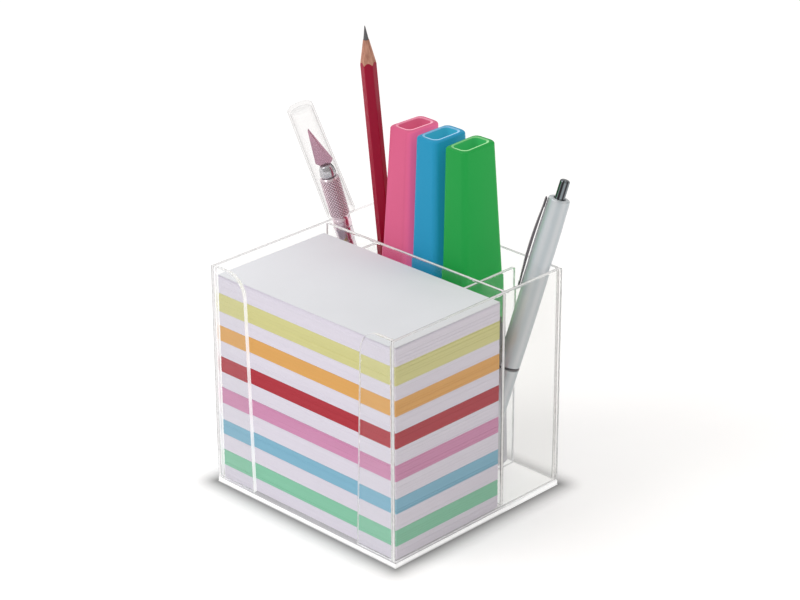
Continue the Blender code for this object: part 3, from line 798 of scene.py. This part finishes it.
for i in range(9):
    j = (i + 1) % 9
    if i == 3:
        bm.faces.new((hi[3], hi[4], rim_a))
        bm.faces.new((lo[3], rim_a, lo[4]))
        bm.faces.new((lo[3], hi[3], rim_a))
    elif i == 4:
        bm.faces.new((hi[4], hi[5], rim_b, rim_a))
        bm.faces.new((lo[4], rim_a, rim_b, lo[5]))
    elif i == 5:
        bm.faces.new((hi[5], hi[6], rim_b))
        bm.faces.new((lo[5], rim_b, lo[6]))
        bm.faces.new((lo[6], rim_b, hi[6]))
    else:
        bm.faces.new((lo[i], hi[i], hi[j], lo[j]))
finish_piece("knife_ground_blade", bm, BLADE, "knife", "knife_blade", KNIFE, smooth=0)

CAP = (KNIFE @ Matrix.Translation((0, 0, 113 * MM)) @ Matrix.Rotation(math.radians(-4.5), 4, "Y")
       @ Matrix.Translation((0, 0, -9 * MM)))
finish_piece("knife_clear_cap",
             lathe(soften([(0, 52.0), (5.2, 52.0), (5.6, 51.6), (6.24, 1.6), (6.3, 0.9), (6.3, 0.3),
                           (6.1, 0), (5.6, 0), (4.85, 50.0), (4.5, 50.4), (0, 50.4)], 0.35), 96),
             CLEAR_CAP, "knife_cap", "knife_cap", CAP)

# ------------------------------------------------------------------ highlighters
MARKERS = {"pink": ((-15.5, 77.4, 3.5), (1.3, 2.4)), "blue": ((2.1, 80.6, 3.5), (-0.8, -1.2)),
           "green": ((19.2, 82.4, 3.5), (-1.4, -3.4))}
for colour, (foot, lean) in MARKERS.items():
    M = tool_frame(foot, (foot[0] + lean[0], foot[1] + lean[1], foot[2] + 146.0))
    n = "marker_%s_" % colour
    cap_body, pen_body = "marker_%s_cap" % colour, "marker_%s" % colour
    finish_piece(n + "cap_shell", loft(
        [(5.9, 10.6, 2.4, TOOL_FOOT)]
        + arc_sections((5.9, 10.6, 2.4, TOOL_FOOT), (7.3, 12.0, 2.8, TOOL_FOOT + 1.4), 6, False)
        + [(7.3, 12.0, 2.8, TOOL_FOOT + 1.4), (7.3, 12.0, 2.8, 49.7), (7.15, 11.85, 2.7, 50.0),
           (6.2, 10.9, 2.1, 50.0), (6.1, 10.8, 2.0, 49.8), (6.1, 10.8, 2.0, 1.5)]),
        PALE, cap_body, n + "cap", M)
    finish_piece(n + "grip_part", loft(
        [(2.1, 3.1, 0.9, 74.0), (2.1, 3.1, 0.9, 28.0), (2.7, 3.7, 1.1, 28.0), (2.9, 3.9, 1.2, 28.3),
         (3.4, 4.65, 1.4, 32.5), (3.9, 5.4, 1.6, 36.0), (4.4, 7.4, 1.7, 38.2), (5.5, 10.0, 2.0, 40.0),
         (5.5, 10.0, 2.0, 50.3), (7.1, 11.7, 2.6, 50.4), (7.26, 11.86, 2.7, 50.7),
         (7.26, 11.86, 2.7, 68.3), (7.1, 11.7, 2.6, 68.6), (5.3, 9.9, 2.0, 68.6),
         (5.3, 9.9, 2.0, 74.0)]), BLACK, pen_body, n + "grip", M)
    finish_piece(n + "chisel_nib", loft(
        [(1.5, 0.3, 0.2, 19.5), (1.7, 0.55, 0.3, 19.7), (1.8, 1.6, 0.5, 22.0), (1.8, 2.8, 0.6, 26.0),
         (1.8, 2.8, 0.6, 73.0)]), FELT, pen_body, n + "nib", M)
    outer = [(5.6, 10.2, 2.0, 76.0), (5.6, 10.2, 2.0, 68.9), (7.12, 11.72, 2.6, 68.9),
             (7.26, 11.86, 2.7, 69.15), (7.26, 11.86, 2.7, 84.5)]
    for k in range(1, 9):
        t = k / 8
        outer.append((7.26 - 1.36 * t - 0.05 * math.sin(math.pi * t) * 0,
                      11.86 - 2.41 * t, 2.7 - 0.4 * t, 84.5 + 60.2 * t))
    outer[-1] = (5.9, 9.45, 2.3, 144.9)
    shoulder = (4.75, 8.75, 2.6, 146.0)
    tail = [outer[-1]] + arc_sections(outer[-1], shoulder, 8) + [shoulder, (4.66, 7.9, 2.85, 146.0)]
    rim_in = (4.15, 7.35, 2.65, 146.0)
    lip = (3.84, 7.05, 2.5, 145.7)
    slot_in = [rim_in] + arc_sections(rim_in, lip, 4, False) + [lip, (3.8, 6.95, 2.45, 144.6),
                                                               (3.72, 6.7, 2.4, 137.0),
                                                               (3.68, 6.6, 2.4, 134.6),
                                                               (3.3, 6.2, 2.3, 134.05),
                                                               (2.5, 5.4, 2.0, 134.0)]
    inside = [(4.2, 4.2, 4.15, 128.0), (4.2, 4.2, 4.15, 76.0)]
    sections = inside + outer[:-1] + tail + slot_in
    shell = loft(sections, 10)
    first = len(inside + outer[:-1] + tail)     # the lip's inner rows start here
    for k, f in enumerate(shell.faces):
        row = k // 44
        f.material_index = 0 if row < first - 1 else 1 if row < first + 4 else 2
    finish_piece(n + "barrel_shell", shell, [MARKER_MAT[colour], LIP_HIGHLIGHT_MAT[colour], SLOT_MAT[colour]],
                 pen_body,
                 n + "barrel", M, smooth=32)
    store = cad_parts[n + "reservoir"].data
    store.materials.clear()
    store.materials.append(FELT)

# ------------------------------------------------------------------ ballpoint
PEN = tool_frame((30.7, 66.6, 3.3), (45.4, 90.2, 99.6), SIDE)
finish_piece("pen_nose_cone", lathe(soften(
    [(1.4, 1.8), (1.4, 23.6), (2.6, 23.6), (2.6, 17.4), (3.9, 17.4), (3.95, 16.9), (3.75, 14.6),
     (3.2, 11.0), (2.7, 8.0), (2.2, 5.0), (1.75, 1.8)], 0.25, True), 72, True),
    SILVER, "ballpoint", "pen_nose", PEN)
finish_piece("pen_grip_barrel", lathe(soften(
    [(2.6, 62.5), (3.2, 62.5), (3.2, 55.6), (4.45, 55.6), (4.6, 55.4), (4.6, 48.0), (4.6, 40.0),
     (4.57, 33.0), (4.5, 26.0), (4.3, 21.5), (4.1, 18.0), (4.0, 17.7), (3.0, 17.7), (3.0, 24.2),
     (2.6, 24.6)], 0.2, True), 72, True),
    SILVER, "ballpoint", "pen_lower_barrel", PEN)
finish_piece("pen_joint_ring", lathe(soften(
    [(3.5, 56.5), (4.64, 56.5), (4.64, 55.9), (3.5, 55.9)], 0.1, True), 72, True),
    CHROME, "ballpoint", "pen_ring", PEN)
finish_piece("pen_body_barrel", lathe(soften(
    [(2.5, 131.3), (3.75, 131.3), (4.45, 131.0), (4.55, 130.2), (4.6, 128.3), (4.68, 124.0), (4.83, 118.0), (4.88, 112.0), (4.89, 108.0),
     (4.82, 104.5), (4.75, 101.0), (4.78, 95.0), (4.84, 84.0), (4.84, 78.0), (4.8, 70.0),
     (4.75, 64.0), (4.68, 60.0), (4.64, 57.0), (4.5, 56.8), (3.5, 56.8), (3.5, 120.0),
     (2.5, 121.0)],
    0.25, True), 96, True), SILVER, "ballpoint", "pen_upper_barrel", PEN)
clip = [(-4.9, 130.4), (-4.95, 126.6), (-5.15, 126.2)]
for i in range(1, 25):
    t = i / 24
    clip.append((-5.2 - 0.3 * math.sin(math.pi * t), 126.0 - 32.5 * t))
clip += [(-5.15, 92.2), (-5.18, 91.3), (-5.35, 90.75), (-5.6, 90.75), (-5.8, 91.1), (-5.9, 92.0)]
for i in range(24, -1, -1):
    t = i / 24
    clip.append((-5.8 - 0.75 * math.sin(math.pi * t), 126.0 - 32.5 * t))
clip += [(-5.72, 129.6), (-5.6, 130.2), (-5.4, 130.5), (-5.15, 130.58)]
finish_piece("pen_spring_clip", extrude_outline(clip, 2.4, 0.14, 3), CHROME, "ballpoint", "pen_clip",
             PEN, smooth=30)
finish_piece("pen_push_button", lathe(soften(
    [(0, 139.3), (1.55, 139.3), (2.1, 138.8), (2.1, 114.6), (3.0, 114.3), (3.0, 112.0), (0, 112.0)],
    0.3), 64), BUTTON, "ballpoint_plunger", "pen_button", PEN)
finish_piece("pen_ink_refill", lathe(soften(
    [(0, 111.7), (1.6, 111.7), (1.6, 38.2), (2.2, 38.0), (2.2, 37.2), (1.15, 37.2), (1.15, 1.4),
     (0.85, 0.7), (0.45, -0.6), (0.3, -0.92), (0, TOOL_FOOT)], 0.12), 40), STEEL, "ballpoint_plunger",
    "pen_refill", PEN)
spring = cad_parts["pen_spring"].data
spring.materials.clear()
spring.materials.append(STEEL)

# ------------------------------------------------------------------ floor and light
bm = bmesh.new()
bmesh.ops.create_grid(bm, x_segments=2, y_segments=2, size=9.0)
me = bpy.data.meshes.new("floor")
bm.to_mesh(me)
bm.free()
floor = bpy.data.objects.new("floor", me)
scene.collection.objects.link(floor)
floor.location = (0, 0, -0.0001)
m, nt, surface, tc = new_material("floor_paper")
grain = noise(nt, tc.outputs["Object"], (300, 300, 300), 2)
v = ramp_between(nt, grain, 0.3, 0.7, 0.985, 1.0)
sep = node(nt, "SeparateXYZ", {0: tc.outputs["Object"]})


def beyond(x0, y0, x1, y1):
    """Distance of a floor point outside a rectangle, given in mm."""
    dx = math_node(nt, "SUBTRACT", math_node(nt, "ABSOLUTE", math_node(
        nt, "SUBTRACT", sep.outputs["X"], (x0 + x1) / 2 * MM)), (x1 - x0) / 2 * MM)
    dy = math_node(nt, "SUBTRACT", math_node(nt, "ABSOLUTE", math_node(
        nt, "SUBTRACT", sep.outputs["Y"], (y0 + y1) / 2 * MM)), (y1 - y0) / 2 * MM)
    dx, dy = math_node(nt, "MAXIMUM", dx, 0.0), math_node(nt, "MAXIMUM", dy, 0.0)
    return math_node(nt, "SQRT", math_node(nt, "ADD", math_node(nt, "MULTIPLY", dx, dx),
                                           math_node(nt, "MULTIPLY", dy, dy)))


# a soft painted contact shadow on the paper: under the note stack and close round the base
stack = ramp_between(nt, beyond(-50, y(2.4), 50, y(61.8)), 0.0, 0.006, 0.6, 0.0)
around = beyond(-52.5, y(0), 52.5, y(97.4))
close = math_node(nt, "MULTIPLY", ramp_between(nt, around, 0.0, 0.012, 1.0, 0.0),
                  ramp_between(nt, around, 0.0, 0.0003, 0.0, 1.0))
shade = math_node(nt, "MAXIMUM", stack, math_node(nt, "POWER", close, 1.7))
bounced = node(nt, "LightPath").outputs["Is Diffuse Ray"]
shade = math_node(nt, "MULTIPLY", shade, math_node(nt, "SUBTRACT", 1.0, bounced))
v = math_node(nt, "MULTIPLY", v, math_node(nt, "SUBTRACT", 1.0, math_node(nt, "MULTIPLY", shade, 0.78)))
# painted light: the floor under the pen compartments glows a little more, seen through the base
pen_well_glow = ramp_between(nt, beyond(-51, y(68), 51, y(96)), 0.0, 0.003, 0.12, 0.0)
diffuse = node(nt, "BsdfDiffuse", {"Color": tinted(nt, (0.88, 0.88, 0.88, 1), v)})
glow = node(nt, "Emission", {"Color": tinted(nt, (1, 1, 1, 1), v),
                             "Strength": math_node(nt, "ADD", ramp_between(nt, bounced, 0.0, 1.0, 0.32, 0.13),
                                                   pen_well_glow)})
total = node(nt, "AddShader", {0: diffuse.outputs[0], 1: glow.outputs[0]})
nt.links.new(total.outputs[0], surface)
me.materials.append(m)
floor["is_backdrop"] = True

world = bpy.data.worlds.new("studio")
scene.world = world
world.use_nodes = True
nt = world.node_tree
nt.nodes.clear()
tc = node(nt, "TexCoord")
sep = node(nt, "SeparateXYZ", {0: tc.outputs["Generated"]})
lift = ramp_between(nt, sep.outputs["Z"], -0.2, 1.0, 0.58, 0.90)
turn = ramp_between(nt, sep.outputs["X"], -0.9, 0.9, 1.12, 0.66)
strength = math_node(nt, "MULTIPLY", lift, turn)
warm = node(nt, "Mix", {"Factor": ramp_between(nt, sep.outputs["X"], 0.0, 0.9, 0.0, 1.0),
                        "A": (1.0, 0.985, 0.975, 1), "B": (1.0, 0.955, 0.915, 1)}, data_type="RGBA")
bg = node(nt, "Background", {"Color": warm.outputs["Result"], "Strength": strength})
out = node(nt, "OutputWorld", {"Surface": bg.outputs[0]})


def softbox(name, where, target, size, power, colour):
    data = bpy.data.lights.new(name, "AREA")
    data.shape = "RECTANGLE"
    data.size, data.size_y = size
    data.energy = power
    data.color = colour
    ob = bpy.data.objects.new(name, data)
    scene.collection.objects.link(ob)
    ob.location = where
    ob.rotation_euler = (Vector(target) - Vector(where)).to_track_quat("-Z", "Y").to_euler()
    return ob


softbox("key", (-0.55, -1.0, 1.15), (0, 0, 0.06), (0.7, 0.7), 6.4, (1.0, 0.985, 0.975))
softbox("rim", (0.9, 0.7, 0.9), (0, 0, 0.08), (0.5, 0.8), 1.5, (1.0, 0.92, 0.84))

low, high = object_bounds()
